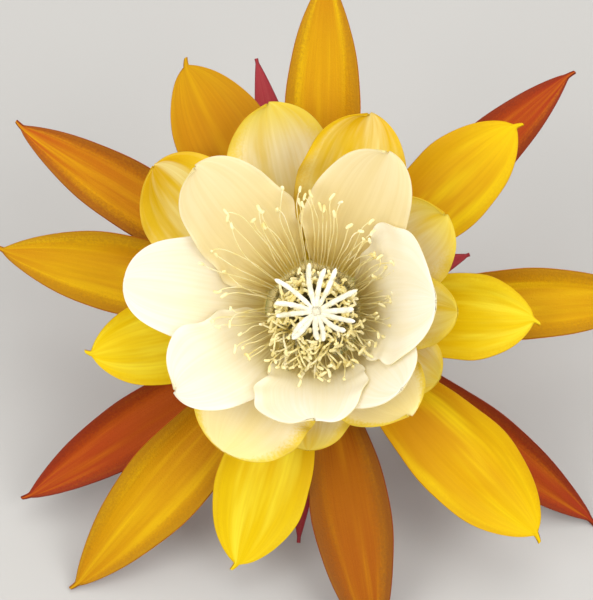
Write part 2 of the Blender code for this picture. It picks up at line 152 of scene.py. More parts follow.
# The patterns that all petals share. The first scales count cells across a petal, about 25 mm, and along it.
# Dust and cells are counted to the metre, and drawn coarser than real ones so that they show.
petalPattern = {
    "patches": 40.0,
    "streakScale": (4.2, 1.2, 1.0), "streakSteps": (0.42, 0.72),
    "veinScale": (30.0, 1.6, 1.0), "veinSteps": (0.36, 0.62),
    "lineScale": (46.0, 2.2, 1.0), "lineSteps": (0.50, 0.60), "lineFade": (0.12, 0.48),
    "dustScale": 1500.0, "cellScale": 2600.0, "reliefDepth": 0.0004,
}


# Noise drawn out along the petal: its places are (across, along, patch), each times its own scale.
def drawnNoise(tree, places, scale, detail, roughness=0.5):
    stretched = addNode(tree, "ShaderNodeMapping", values={"Scale": scale}, links={"Vector": places})
    noise = addNode(tree, "ShaderNodeTexNoise",
                    values={"Scale": 1.0, "Detail": detail, "Roughness": roughness},
                    links={"Vector": stretched.outputs["Vector"]})
    return noise.outputs["Fac"]


# A look's (colour, strength) laid over a colour, where a value rises from one step to the next.
def layOver(tree, color, paint, value, steps):
    mask = softMask(tree, value, steps, 0.0, paint[1])
    return mixColor(tree, mask, color, hexColor(paint[0])), mask


# How near the margin a place is: its distance from the middle line, 0 to 0.5, made ragged by 0.7 mm dust.
def marginPlace(tree, across, solidPlace, grain):
    offCentre = addNode(tree, "ShaderNodeMath", {"operation": "SUBTRACT"}, {1: 0.5}, {0: across})
    distance = addNode(tree, "ShaderNodeMath", {"operation": "ABSOLUTE"}, links={0: offCentre.outputs[0]})
    dust = addNode(tree, "ShaderNodeTexNoise",
                   values={"Scale": petalPattern["dustScale"], "Detail": 4.0, "Roughness": 0.6},
                   links={"Vector": solidPlace})
    ragged = addNode(tree, "ShaderNodeMath", {"operation": "MULTIPLY_ADD"},
                     {1: grain, 2: grain * -0.5}, {0: dust.outputs["Fac"]})
    return addNode(tree, "ShaderNodeMath", {"operation": "ADD"},
                   links={0: distance.outputs[0], 1: ragged.outputs[0]}).outputs[0]


# A living petal: thin wet cells under a matt waxy skin, so light glows through and veins run its length.
# Its body colour goes by the distance from the root. Streaks, veins and throat lines are drawn-out noise.
def petalMaterial(name, look):
    material, tree = emptyMaterial(name)
    pattern = petalPattern
    coordinates = addNode(tree, "ShaderNodeTexCoord")
    solidPlace = coordinates.outputs["Object"]
    split = addNode(tree, "ShaderNodeSeparateXYZ", links={"Vector": coordinates.outputs["UV"]})
    across, along = split.outputs["X"], split.outputs["Y"]
    body = colorAlong(tree, along, [(place, hexColor(color)) for place, color in look["along"]])

    # each petal has its own patch of the patterns
    own = addNode(tree, "ShaderNodeObjectInfo")
    patch = addNode(tree, "ShaderNodeMath", {"operation": "MULTIPLY"}, {1: pattern["patches"]},
                    {0: own.outputs["Random"]})
    joined = addNode(tree, "ShaderNodeCombineXYZ", links={"X": across, "Y": along, "Z": patch.outputs[0]})
    places = joined.outputs[0]

    # broad streaks, about 6 mm wide and nearly as long as the petal
    streakNoise = drawnNoise(tree, places, pattern["streakScale"], 3.0, 0.55)
    color, streaks = layOver(tree, body, look["streak"], streakNoise, pattern["streakSteps"])

    # fine veins, about 0.8 mm apart
    veinNoise = drawnNoise(tree, places, pattern["veinScale"], 2.0)
    color, _ = layOver(tree, color, look["vein"], veinNoise, pattern["veinSteps"])

    # darker lines, about 0.5 mm apart, that rise from the throat and fade out
    lineNoise = drawnNoise(tree, places, pattern["lineScale"], 1.0)
    lines = softMask(tree, lineNoise, pattern["lineSteps"], 0.0, look["throat"][1])
    fade = softMask(tree, along, pattern["lineFade"], 1.0, 0.0)
    rising = addNode(tree, "ShaderNodeMath", {"operation": "MULTIPLY"}, links={0: lines, 1: fade})
    color = mixColor(tree, rising.outputs[0], color, hexColor(look["throat"][0]))

    # the margin, where the blade is thinnest or dusted with a dull bloom
    margin = marginPlace(tree, across, solidPlace, look["grain"])
    color, _ = layOver(tree, color, look["edge"], margin, (look["edgeStart"], 0.5))

    # the back has its own colour, with the same streaks
    side = addNode(tree, "ShaderNodeAttribute", {"attribute_name": "back"})
    backColor = mixColor(tree, streaks, hexColor(look["back"][0]), hexColor(look["back"][1]))
    color = mixColor(tree, side.outputs["Fac"], color, backColor)

    # cell texture of 0.4 mm over the veins' relief
    cells = addNode(tree, "ShaderNodeTexNoise", values={"Scale": pattern["cellScale"], "Detail": 2.0},
                    links={"Vector": solidPlace})
    relief = addNode(tree, "ShaderNodeMath", {"operation": "MULTIPLY_ADD"}, {1: look["cellRelief"]},
                     {0: cells.outputs["Fac"], 2: veinNoise})
    bump = addNode(tree, "ShaderNodeBump",
                   values={"Strength": look["relief"], "Distance": pattern["reliefDepth"]},
                   links={"Height": relief.outputs[0]})
    tissueSurface(tree, look, color, bump.outputs["Normal"], thin=True)
    return material


# What kinds of skin petals have: soft and moist in the cup, waxy further out, leathery and dusty outside.
petalSkins = {
    "soft": {"cellRelief": 0.25, "roughness": 0.5},
    "waxy": {"cellRelief": 0.6, "relief": 0.22, "roughness": 0.5, "shine": 0.12, "grain": 0.2},
    "leathery": {"cellRelief": 1.2, "relief": 0.4, "roughness": 0.55, "shine": 0.12, "grain": 0.32},
}

# One look for each colour of petal, with darker and lighter copies of some that paint shade and light on the
# petals they are given to. Its body colours go from the root, 0, to the tip, 1. The streaks, veins, margin
# and throat lines each have a colour and a strength, and the back has a colour and its streaks'.
petalLooks = {
    "white": {
        "along": ((0.0, "#F8EA98"), (0.2, "#F9F0C0"), (0.5, "#FAF5E2"), (1.0, "#F8F5EC")),
        "streak": ("#F4EBC8", 0.35), "vein": ("#E9DCA8", 0.14), "throat": ("#D2B24A", 0.35),
        "edge": ("#FBF9F0", 0.5), "edgeStart": 0.42, "back": ("#F4EBC4", "#EAD77E"), "glow": 0.46,
        "skin": "soft", "relief": 0.16, "grain": 0.06, "shine": 0.25,
    },
    # painted shade: the white look made warmer and darker, for the two upper white petals, whose inner faces
    # turn away from the light
    "cream": {
        "along": ((0.0, "#F8E684"), (0.22, "#F6E8A8"), (0.5, "#F1E3B0"), (1.0, "#F0E4BC")),
        "streak": ("#E8D695", 0.4), "vein": ("#DCC87C", 0.16), "throat": ("#CCA840", 0.42),
        "edge": ("#F8F2DA", 0.4), "edgeStart": 0.44, "back": ("#F1E5AC", "#E8D06A"), "glow": 0.46,
        "skin": "soft", "relief": 0.14, "grain": 0.06, "shine": 0.25, "roughness": 0.52,
    },
    "yellowEdged": {
        "along": ((0.0, "#F0DC7C"), (0.3, "#F6ECB8"), (0.6, "#FAF5DC"), (1.0, "#F8EEB0")),
        "streak": ("#F2E490", 0.5), "vein": ("#EADB9A", 0.15), "throat": ("#D8B83C", 0.3),
        "edge": ("#EED844", 0.95), "edgeStart": 0.36, "back": ("#EBD04A", "#DDB626"), "glow": 0.42,
        "skin": "soft", "relief": 0.16, "grain": 0.2, "shine": 0.25,
    },
    "pale": {
        "along": ((0.0, "#E4CC38"), (0.35, "#ECE09C"), (0.7, "#F0E6B8"), (1.0, "#EADA60")),
        "streak": ("#E2C422", 0.9), "vein": ("#DECA66", 0.25), "throat": ("#D0AC24", 0.3),
        "edge": ("#E8D040", 0.85), "edgeStart": 0.3, "back": ("#E4C62C", "#D6AC12"), "glow": 0.38,
        "skin": "soft", "relief": 0.2, "grain": 0.25, "shine": 0.22,
    },
    "yellow": {
        "along": ((0.0, "#E8D24E"), (0.4, "#E6CC44"), (0.8, "#E3C020"), (1.0, "#DBAE06")),
        "streak": ("#F4EEAA", 0.8), "vein": ("#DAB418", 0.25), "throat": ("#C09408", 0.3),
        "edge": ("#E6C116", 0.6), "edgeStart": 0.34, "back": ("#DCB00C", "#D09804"), "glow": 0.32,
        "skin": "soft", "relief": 0.22, "cellRelief": 0.3, "grain": 0.25, "shine": 0.18,
    },
    "golden": {
        "along": ((0.0, "#A46402"), (0.35, "#C48802"), (0.7, "#D8A602"), (1.0, "#EBC604")),
        "streak": ("#EED010", 0.8), "vein": ("#B87C02", 0.16), "throat": ("#9C5C02", 0.3),
        "edge": ("#D0A008", 0.5), "edgeStart": 0.36, "back": ("#C88202", "#B86402"), "glow": 0.24,
        "skin": "waxy",
    },
    # painted shade: the golden look made darker, for the upper golden tepal, which faces away from the light
    "deepGolden": {
        "along": ((0.0, "#985C02"), (0.35, "#B47402"), (0.7, "#BE8202"), (1.0, "#C89404")),
        "streak": ("#D2A206", 0.8), "vein": ("#A46402", 0.2), "throat": ("#8C5002", 0.3),
        "edge": ("#B88406", 0.5), "edgeStart": 0.36, "back": ("#B87202", "#A85602"), "glow": 0.22,
        "skin": "waxy",
    },
    # painted light: the golden look made lighter and more lemon, for golden tepals that face the light
    "brightGolden": {
        "along": ((0.0, "#C08402"), (0.35, "#D8AC02"), (0.7, "#E6C402"), (1.0, "#ECCC06")),
        "streak": ("#F5E63A", 0.85), "vein": ("#CC9C02", 0.16), "throat": ("#AA6C02", 0.3),
        "edge": ("#DCB410", 0.5), "edgeStart": 0.38, "back": ("#D09604", "#C07404"), "glow": 0.26,
        "skin": "waxy",
    },
    "outerGolden": {
        "along": ((0.0, "#A45E02"), (0.35, "#BC7E02"), (0.7, "#CC9602"), (1.0, "#C28406")),
        "streak": ("#E2B806", 0.85), "vein": ("#B07002", 0.16), "throat": ("#8C4C02", 0.4),
        "edge": ("#A87414", 0.7), "edgeStart": 0.26, "back": ("#BC6206", "#AA480A"), "glow": 0.18,
        "skin": "leathery",
    },
    "outerOrange": {
        "along": ((0.0, "#A45C04"), (0.4, "#BE7A02"), (0.75, "#BC6E04"), (1.0, "#B44C10")),
        "streak": ("#E0A806", 0.8), "vein": ("#A05006", 0.16), "throat": ("#7C3404", 0.4),
        "edge": ("#8E4C18", 0.75), "edgeStart": 0.22, "back": ("#AA3E0E", "#8E2E10"), "glow": 0.16,
        "skin": "leathery",
    },
    # partly painted shade: the orange outer look made browner and darker, partly its own brown and partly
    # the shade on the lowest outer tepal
    "outerBrown": {
        "along": ((0.0, "#904A04"), (0.4, "#A45E04"), (0.75, "#A45808"), (1.0, "#9A4410")),
        "streak": ("#C28206", 0.8), "vein": ("#8E4606", 0.2), "throat": ("#743004", 0.4),
        "edge": ("#84501E", 0.75), "edgeStart": 0.2, "back": ("#A03C0E", "#862C10"), "glow": 0.16,
        "skin": "leathery",
    },
    "outerRed": {
        "along": ((0.0, "#A04408"), (0.4, "#AE4E0A"), (0.75, "#A8400E"), (1.0, "#9C3016")),
        "streak": ("#CE7608", 0.6), "vein": ("#92340C", 0.16), "throat": ("#6C2406", 0.4),
        "edge": ("#7E2C1A", 0.75), "edgeStart": 0.22, "back": ("#902812", "#761E12"), "glow": 0.14,
        "skin": "leathery",
    },
    "bract": {
        "along": ((0.0, "#8E7A2C"), (0.3, "#A8462C"), (0.7, "#B43A40"), (1.0, "#BA444C")),
        "streak": ("#C65C5A", 0.5), "vein": ("#92262C", 0.16), "throat": ("#6C5A20", 0.2),
        "edge": ("#9A3640", 0.6), "edgeStart": 0.36, "back": ("#982828", "#762022"), "glow": 0.12,
        "skin": "leathery", "cellRelief": 1.0, "grain": 0.2, "shine": 0.15, "roughness": 0.5,
    },
}


# Tepals

# The white cup, as in the solids: azimuth, reach and height of its edge, slope at the rim and at the edge.
cup = [
    (-91, 28.5, 40.0, 66, 52), (-38, 27.5, 41.0, 71, 60), (12, 30.0, 39.5, 69, 43),
    (66, 42.5, 36.0, 69, 26), (130, 46.0, 33.0, 68, 20), (171, 48.0, 25.0, 65, 6),
    (209, 39.5, 34.0, 66, 24), (269, 28.5, 40.0, 66, 52),
]

# What the tepals of one kind share: root and slopes, outline (claw, widest, fill, blunt, point), thickness,
# and how the blade is waved, pleated and frilled. The pointed ones close before their tip, in a small hook.
tepalKinds = {
    "white": {
        "claw": 10.0, "widest": 0.62, "fill": 0.75, "blunt": 2.7, "point": 0.42, "thick": 0.8, "wave": 0.35,
        "pleat": 0.10, "frill": 0.45, "frills": 5.0, "uneven": 0.065,
    },
    "yellow": {
        "root": -1.9, "leave": 56, "arrive": 20, "claw": 8.0, "widest": 0.58, "blunt": 2.4, "point": 0.5,
        "cup": 24, "thick": 0.8, "wave": 0.6, "pleat": 0.2, "frill": 0.6, "frills": 5.0, "uneven": 0.03,
    },
    "golden": {
        "root": -6.2, "leave": 34, "arrive": -6, "claw": 7.0, "widest": 0.60, "blunt": 2.0, "point": 0.66,
        "cup": 26, "thick": 1.0, "wave": 0.3, "waves": 1.5, "pleat": 0.38, "pleats": 2.0, "frill": 0.15,
        "uneven": 0.02, "closed": 0.972, "mucro": 1.6, "hook": -1.2,
    },
    "outer": {
        "root": -9.0, "leave": 14, "arrive": -8, "claw": 6.5, "widest": 0.52, "blunt": 1.8, "point": 0.8,
        "cup": 42, "thick": 1.2, "pleat": 0.28, "pleats": 2.0, "frill": 0.06, "uneven": 0.015,
        "closed": 0.985, "mucro": 0.9, "hook": -0.7,
    },
    "bract": {
        "root": -15.0, "leave": 10, "arrive": 8, "claw": 4.5, "widest": 0.45, "blunt": 1.8, "point": 0.9,
        "cup": 38, "thick": 1.1, "pleat": 0.06, "uneven": 0.01,
    },
}

# The tepals of each kind, as in the solids: azimuth, reach, height, width, and what differs from the kind.
# The white ones take reach and height from the cup. Any other without a height lies on the surface.
tepals = {
    "white": [
        (171, None, None, 28, {}),
        (209, None, None, 24, {"inset": 0.9, "tilt": -1.5}),
        # painted shade: the two upper white petals take the white look in shade
        (130, None, None, 26, {"inset": 0.8, "tilt": 1.4, "look": "cream"}),
        (66, None, None, 27, {"inset": 0.8, "tilt": 1.1, "look": "cream"}),
        (5, None, None, 34, {"inset": 1.7}),
        (-42, None, None, 25, {}),
        (-91, None, None, 28, {"inset": 1.6, "notch": 0.05, "tilt": -0.3}),
    ],
    "yellow": [
        (236, 41.5, 23, 32, {"arrive": 5, "frill": 0.8, "look": "yellowEdged"}),
        (267, 35.0, 12.5, 22, {"root": -3.9, "leave": 39, "arrive": 10, "look": "pale"}),
        (303, 34.0, 30, 26, {"bend": 9, "arrive": 30, "tilt": -1.2, "look": "yellowEdged"}),
        (331, 35.5, 13, 19, {"root": -4.0, "leave": 38, "look": "pale"}),
        (360, 34.5, 31.5, 20, {"leave": 59, "arrive": 30, "look": "pale"}),
        (37, 40.0, 23, 27, {"root": -2.9, "leave": 50, "tilt": 1.3, "look": "pale"}),
        (75, 50.5, 24.3, 27, {"root": -2.5, "leave": 54, "tilt": 1.7, "look": "yellow"}),
        (103, 53.5, 13.2, 28, {"root": -3.2, "leave": 44, "tilt": 1.3, "look": "pale"}),
        (143, 55.0, 10, 29, {"root": -3.4, "leave": 43, "bend": -5, "tilt": 0.2, "look": "yellow"}),
    ],
    "golden": [
        # painted shade on the upper golden tepal
        (118, 73.0, 1, 25, {"leave": 30, "look": "deepGolden"}),
        # painted light on this tepal and on those at -2 and 253 degrees
        (191, 59.5, 6, 23, {"look": "brightGolden"}),
        (-2, 57.0, 8, 23, {"look": "brightGolden"}),
        (43, 71.5, 3, 23, {}),
        (253, 70.0, -2, 25, {"look": "brightGolden"}),
        (-45, 82.5, 2, 25, {}),
    ],
    "outer": [
        (169, 84.5, -8, 22, {"look": "outerGolden"}),
        (148, 93.0, -14, 19, {"root": -11.4, "look": "outerOrange"}),
        (88, 89.0, -8, 21, {"look": "outerGolden"}),
        (43, 93.5, -18, 17, {"root": -11.4, "look": "outerRed"}),
        (2, 91.0, -8, 20, {"look": "outerGolden"}),
        (-37, 94.0, None, 17, {"root": -11.4, "look": "outerRed"}),
        # the lowest outer tepal, partly in painted shade
        (-80, 89.0, None, 22, {"root": -10.2, "look": "outerBrown"}),
        (229, 96.5, None, 23, {"look": "outerGolden"}),
        (213, 92.0, -18, 18, {"root": -11.6, "look": "outerRed"}),
    ],
    "bract": [
        (103, 69.0, -22, 11, {}),
        (-94, 61.0, -13, 8, {}),
        (20, 44.0, -22, 9, {"root": -19.0}),
        (170, 48.0, -26, 10, {"root": -17.0}),
        (65, 40.0, -32, 9, {"root": -22.0}),
    ],
}

tepalDefaults = {
    "fill": 1.3, "wave": 0.0, "waves": 2.0, "pleats": 3.0, "frill": 0.0, "frills": 4.0, "closed": 1.0,
    "mucro": 0.0, "hook": 0.0, "inset": 0.0, "notch": 0.0, "bend": 0.0, "tilt": 0.0, "look": None,
}
blade = {"columns": 48, "rows": 72, "gap": 0.42, "rimGap": 0.52, "tipWidth": 0.9, "edgeThin": 0.35,
         "notchWidth": 0.3, "hookLength": 0.03}


# The tube's outer radius, this far back from the rim: straight lines between the profile's points.
def outerRadius(back):
    places, radii = zip(*tube["profile"])
    return np.interp(back, places, radii)


# How high above the rim a tip is when it touches the surface.
def floorHeight(reach, azimuth):
    turn = math.radians(pose["faceElevation"])
    upward = reach * math.sin(math.radians(azimuth)) * math.cos(turn)
    return -(pose["throatHeight"] + upward - pose["restLift"]) / math.sin(turn)


# A tepal's row by name, over its kind's values and the defaults.
def fullTepal(kind, row):
    azimuth, reach, height, width, own = row
    if reach is not None and height is None:
        height = floorHeight(reach, azimuth)
    placed = {"kind": kind, "azimuth": azimuth, "reach": reach, "height": height, "width": width}
    return {**tepalDefaults, **tepalKinds[kind], **placed, **own}


# The cup's reach and height, leave and arrive in each direction, easing from row to row with half a cosine.
def cupRow(azimuth):
    table = np.array(cup, dtype=float)
    turned = (azimuth - table[0, 0]) % 360 + table[0, 0]
    after = np.clip(np.searchsorted(table[:, 0], turned), 1, len(table) - 1)
    share = (turned - table[after - 1, 0]) / (table[after, 0] - table[after - 1, 0])
    share = (0.5 - 0.5 * np.cos(np.pi * share))[..., None]
    row = table[after - 1, 1:] + (table[after, 1:] - table[after - 1, 1:]) * share
    return row[..., 0:2], row[..., 2], row[..., 3]


# Unit vectors in the plane of the axis, at these slopes in degrees.
def heading(degrees):
    angle = np.radians(degrees)
    return np.stack([np.cos(angle), np.sin(angle)], axis=-1)


# The cubic Bezier curve through four points: the weights are the terms of (t + (1 - t)) cubed.
def bezier(p0, p1, p2, p3, t):
    u = 1 - t
    return u ** 3 * p0 + 3 * u ** 2 * t * p1 + 3 * u * t ** 2 * p2 + t ** 3 * p3


# Points of the curve from root to tip that has these slopes at its ends.
def midline(root, tip, leave, arrive, place):
    span = np.linalg.norm(tip - root, axis=-1, keepdims=True)
    first = root + 0.40 * span * heading(leave)
    second = tip - 0.38 * span * heading(arrive)
    return bezier(root, first, second, tip, place[..., None])


# Half a tepal's width. It grows as a power of a quarter sine up to the widest place, then closes as a power
# of 1 - x ** blunt, and a pointed one ends in a short hook. The two edges wander a little, each its own way.
def halfWidth(leaf, t, s, hook, phase):
    rise = np.sin(0.5 * np.pi * np.minimum(t / leaf["widest"], 1.0)) ** leaf["fill"]
    growing = leaf["claw"] + (leaf["width"] - leaf["claw"]) * rise
    share = np.clip((t - leaf["widest"]) / (leaf["closed"] - leaf["widest"]), 0.0, 1.0)
    narrow = blade["tipWidth"] + leaf["mucro"] * (1 - hook) ** 1.5
    closing = np.maximum(narrow, leaf["width"] * (1 - share ** leaf["blunt"]) ** leaf["point"])
    half = 0.5 * np.where(t < leaf["widest"], growing, closing)
    side = np.where(s > 0, 1.0, -1.0)
    wander = np.sin(9 * t + phase + side) + 0.6 * np.sin(23 * t - phase * 3 + 2 * side)
    return half * (1 + leaf["uneven"] * wander * np.abs(s) * np.sin(np.pi * t))


# How far the blade stands off its midline. Waves grow with the cube of the distance from the middle and
# frills with its fifth power, pleats are cosines across the blade, and a tilt is a straight slope across it.
def bladeLift(leaf, t, s, inside, phase):
    ripple = np.sin(2 * np.pi * leaf["waves"] * t + phase + np.where(s > 0, 2.0, 0.0))
    lift = leaf["wave"] * np.abs(s) ** 3 * np.sin(np.pi * inside) ** 1.5 * ripple
    frills = np.sin(2 * np.pi * leaf["frills"] * t + phase * 1.7 + s * 2)
    lift = lift + leaf["frill"] * np.abs(s) ** 5 * np.sin(np.pi * inside) * frills
    folds = np.cos(leaf["pleats"] * np.pi * s + 0.6 * np.sin(phase + 3 * t))
    lift = lift + leaf["pleat"] * folds * np.sin(np.pi * inside) ** 0.7
    return lift + leaf["tilt"] * s * (0.2 + 0.8 * np.minimum(1.0, 4 * t)) + leaf["inset"]


# Points of a tepal's middle surface. t goes from root to tip, s from -1 to 1 across it.
# A white one follows the shared cup. Any other has its own midline and an arc as its cross-section.
def tepalSurface(leaf, t, s):
    inside = np.clip(t, 0, 1)
    phase = math.radians(leaf["azimuth"] * 7)
    hookStart = leaf["closed"] - blade["hookLength"]
    hook = np.clip((inside - hookStart) / (1 - hookStart), 0.0, 1.0)
    half = halfWidth(leaf, inside, s, hook, phase)
    lift = bladeLift(leaf, t, s, inside, phase)
    if leaf["kind"] == "white":
        aside = 2 * half * s / leaf["width"] / blade["notchWidth"]
        along = t * (1 - leaf["notch"] * np.exp(-(aside ** 2)) * inside ** 4)
        root = np.array([outerRadius(0) - leaf["thick"] / 2, blade["rimGap"]])
        here = midline(root, *cupRow(np.full(t.shape, float(leaf["azimuth"]))), along)
        azimuth = leaf["azimuth"] + np.degrees(half * s / here[..., 0])
        curve = (root, *cupRow(azimuth))
        across = 0.0
    else:
        along = t
        root = np.array([outerRadius(-leaf["root"]) + blade["gap"] + leaf["thick"] / 2, leaf["root"]])
        curve = (root, np.array([leaf["reach"], leaf["height"]]), leaf["leave"], leaf["arrive"])
        azimuth = leaf["azimuth"] + leaf["bend"] * t * t
        arc = math.radians(leaf["cup"]) * (0.55 + 0.45 * np.sin(np.pi * np.minimum(1.0, t * 1.1)))
        across = half / arc * np.sin(arc * s) + leaf["hook"] * hook ** 2
        lift = lift + half / arc * (1 - np.cos(arc * s))
    here = midline(*curve, along)
    slope = unit(midline(*curve, along + 0.001) - midline(*curve, along - 0.001))
    turn = np.radians(azimuth)
    radial = here[..., 0] - slope[..., 1] * lift
    return np.stack([
        radial * np.cos(turn) - across * np.sin(turn),
        radial * np.sin(turn) + across * np.cos(turn),
        here[..., 1] + slope[..., 0] * lift,
    ], axis=-1)


# Quads of a grid whose points run row by row.
def gridFaces(rows, columns):
    r, c = np.meshgrid(np.arange(rows - 1), np.arange(columns - 1), indexing="ij")
    corner = r * columns + c
    return np.stack([corner, corner + 1, corner + columns + 1, corner + columns], axis=-1).reshape(-1, 4)


# Quads of a closed blade whose front points come first and rear points second: two grids and the rim.
def bladeFaces(rows, columns):
    count = rows * columns
    front = gridFaces(rows, columns)
    ring = np.concatenate([
        np.arange(columns), np.arange(1, rows) * columns + columns - 1,
        (rows - 1) * columns + np.arange(columns - 2, -1, -1), np.arange(rows - 2, 0, -1) * columns,
    ])
    following = np.roll(ring, -1)
    rim = np.stack([ring, ring + count, following + count, following], axis=-1)
    return np.concatenate([front[:, ::-1], front + count, rim])


# Quads between rings of points that follow each other, each ring closed on itself.
def ringFaces(rings, around):
    r, c = np.meshgrid(np.arange(rings - 1), np.arange(around), indexing="ij")
    nextC = (c + 1) % around
    return np.stack([r * around + c, r * around + nextC, (r + 1) * around + nextC, (r + 1) * around + c],
                    axis=-1).reshape(-1, 4)


# Several meshes' points and quads as one, the quads counted on from the points before them.
def joinMeshes(*parts):
    starts = np.cumsum([0] + [len(points) for points, _ in parts])
    return (np.concatenate([points for points, _ in parts]),
            np.concatenate([quads + start for (_, quads), start in zip(parts, starts)]))


# A smooth mesh object from world points and quads, with a UV map and the attribute that marks its back.
def buildMesh(name, points, quads, material, uv=None, back=None):
    mesh = bpy.data.meshes.new(name)
    mesh.vertices.add(len(points))
    mesh.vertices.foreach_set("co", np.asarray(points, dtype=np.float32).ravel())
    mesh.loops.add(quads.size)
    mesh.loops.foreach_set("vertex_index", quads.astype(np.int32).ravel())
    mesh.polygons.add(len(quads))
    mesh.polygons.foreach_set("loop_start", np.arange(0, quads.size, 4, dtype=np.int32))
    mesh.update(calc_edges=True)
    mesh.validate()
    if uv is not None:
        layer = mesh.uv_layers.new(name="along")
        layer.uv.foreach_set("vector", uv[quads.ravel()].astype(np.float32).ravel())
    if back is not None:
        mark = mesh.attributes.new("back", "FLOAT", "POINT")
        mark.data.foreach_set("value", back.astype(np.float32))
    mesh.shade_smooth()
    mesh.materials.append(material)
    made = bpy.data.objects.new(name, mesh)
    bpy.context.scene.collection.objects.link(made)
    return made


# A closed blade: the middle surface moved half its thickness each way, thinner at its edges.
# Rows crowd towards the tip and columns towards the edges, where the outline turns most.
def buildTepal(name, leaf, material):
    rows, columns = blade["rows"], blade["columns"]
    tRow = 1 - (1 - np.linspace(0, 1, rows)) ** 2
    sRow = np.sin(np.linspace(-0.5, 0.5, columns) * np.pi)
    t, s = np.meshgrid(tRow, sRow, indexing="ij")
    middle = tepalSurface(leaf, t, s)
    alongStep = tepalSurface(leaf, t + 0.002, s) - tepalSurface(leaf, t - 0.002, s)
    acrossStep = tepalSurface(leaf, t, s + 0.01) - tepalSurface(leaf, t, s - 0.01)
    normal = unit(np.cross(alongStep, acrossStep))
    thick = leaf["thick"] * (1 - (1 - blade["edgeThin"]) * np.abs(s) ** 4)[..., None]
    faces = [middle + normal * thick / 2, middle - normal * thick / 2]
    points = np.concatenate([face.reshape(-1, 3) for face in faces])
    uv = np.tile(np.stack([(s + 1) / 2, t], axis=-1).reshape(-1, 2), (2, 1))
    back = np.repeat([0.0, 1.0], rows * columns)
    return buildMesh(name, toWorldOnSurface(points), bladeFaces(rows, columns), material, uv, back)


# Closed tubes round many paths at once: at each path point a ring of points, square to the path.
# paths is (tubes, points, 3) and radii (tubes, points). Quads across the end rings close the ends.
def tubesAlong(paths, radii, sides):
    count, length = radii.shape
    tangent = unit(np.gradient(paths, axis=1))
    helper = np.array([0.31, 0.17, 0.93])
    sideways = unit(np.cross(tangent, helper))
    upward = np.cross(tangent, sideways)
    angle = np.linspace(0, 2 * np.pi, sides, endpoint=False)[:, None]
    ring = np.cos(angle) * sideways[:, :, None, :] + np.sin(angle) * upward[:, :, None, :]
    points = paths[:, :, None, :] + radii[:, :, None, None] * ring
    first = np.arange(count)[:, None] * length * sides
    quads = (ringFaces(length, sides)[None] + first[..., None]).reshape(-1, 4)
    near = np.arange(sides // 2 - 1)[None, :]
    cap = np.stack([near, near + 1, sides - 2 - near, sides - 1 - near], axis=-1)
    startCaps = (first[..., None] + cap).reshape(-1, 4)[:, ::-1]
    endCaps = (first[..., None] + (length - 1) * sides + cap).reshape(-1, 4)
    return points.reshape(-1, 3), np.concatenate([quads, startCaps, endCaps])


# Floral tube

# The tube's centre line, this far back from the rim, and how far it has turned there: it runs straight
# down the flower's axis, then along an arc, then level.
def centreLine(back):
    back = np.asarray(back, dtype=float)
    turn = math.radians(pose["faceElevation"])
    radius = tube["arc"] / turn
    angle = np.clip((back - tube["straight"]) / radius, 0.0, turn)
    straight = np.minimum(back, tube["straight"])
    rest = np.maximum(0.0, back - tube["straight"] - tube["arc"])
    y = radius * (1 - np.cos(angle)) + rest * math.sin(turn)
    z = -straight - radius * np.sin(angle) - rest * math.cos(turn)
    return np.stack([np.zeros_like(back), y, z], axis=-1), angle


# The bore's radius: the outer radius less the wall, which thins along the straight stretch.
def boreRadius(back):
    share = np.clip(np.asarray(back) / tube["straight"], 0.0, 1.0)
    return outerRadius(np.maximum(back, 0.0)) - (tube["rimWall"] + (tube["wall"] - tube["rimWall"]) * share)


# The outer radius with its corners rounded, as the mean of five places 1 mm apart.
def smoothRadius(back):
    return sum(outerRadius(np.clip(back + shift, 0, tube["length"])) for shift in (-2, -1, 0, 1, 2)) / 5


